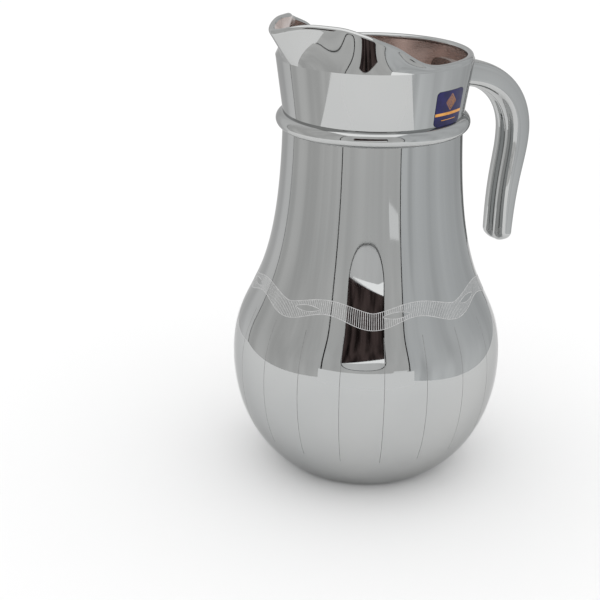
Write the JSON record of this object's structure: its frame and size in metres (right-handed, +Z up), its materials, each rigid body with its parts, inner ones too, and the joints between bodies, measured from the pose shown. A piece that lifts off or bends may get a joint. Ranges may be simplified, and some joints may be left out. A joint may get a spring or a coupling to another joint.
{
  "type": "water pitcher",
  "caption": "Mirror-coated glass water pitcher with a round belly, beaded neck ring, flared collar, pinched pouring spout and an open-ended arched handle.",
  "frame": {"origin": "centre of the flat resting face, on the jug's axis", "axes": "+Z up along the jug's axis, +X towards the handle, spout towards -X"},
  "size_m": [0.1688, 0.14, 0.2371],
  "materials": {
    "mirror_coat": "vacuum-metallised mirror coat on glass, polished, with a fine etched ribbon and lines",
    "handle_coat": "vacuum-metallised mirror coat on solid glass, polished",
    "label_film": "glossy printed film"
  },
  "bodies": {
    "root": {"bowl": "mirror_coat", "neck_ring": "mirror_coat", "collar": "mirror_coat", "pouring_rim": "mirror_coat", "handle": "handle_coat", "label": "label_film"}
  },
  "joints": []
}
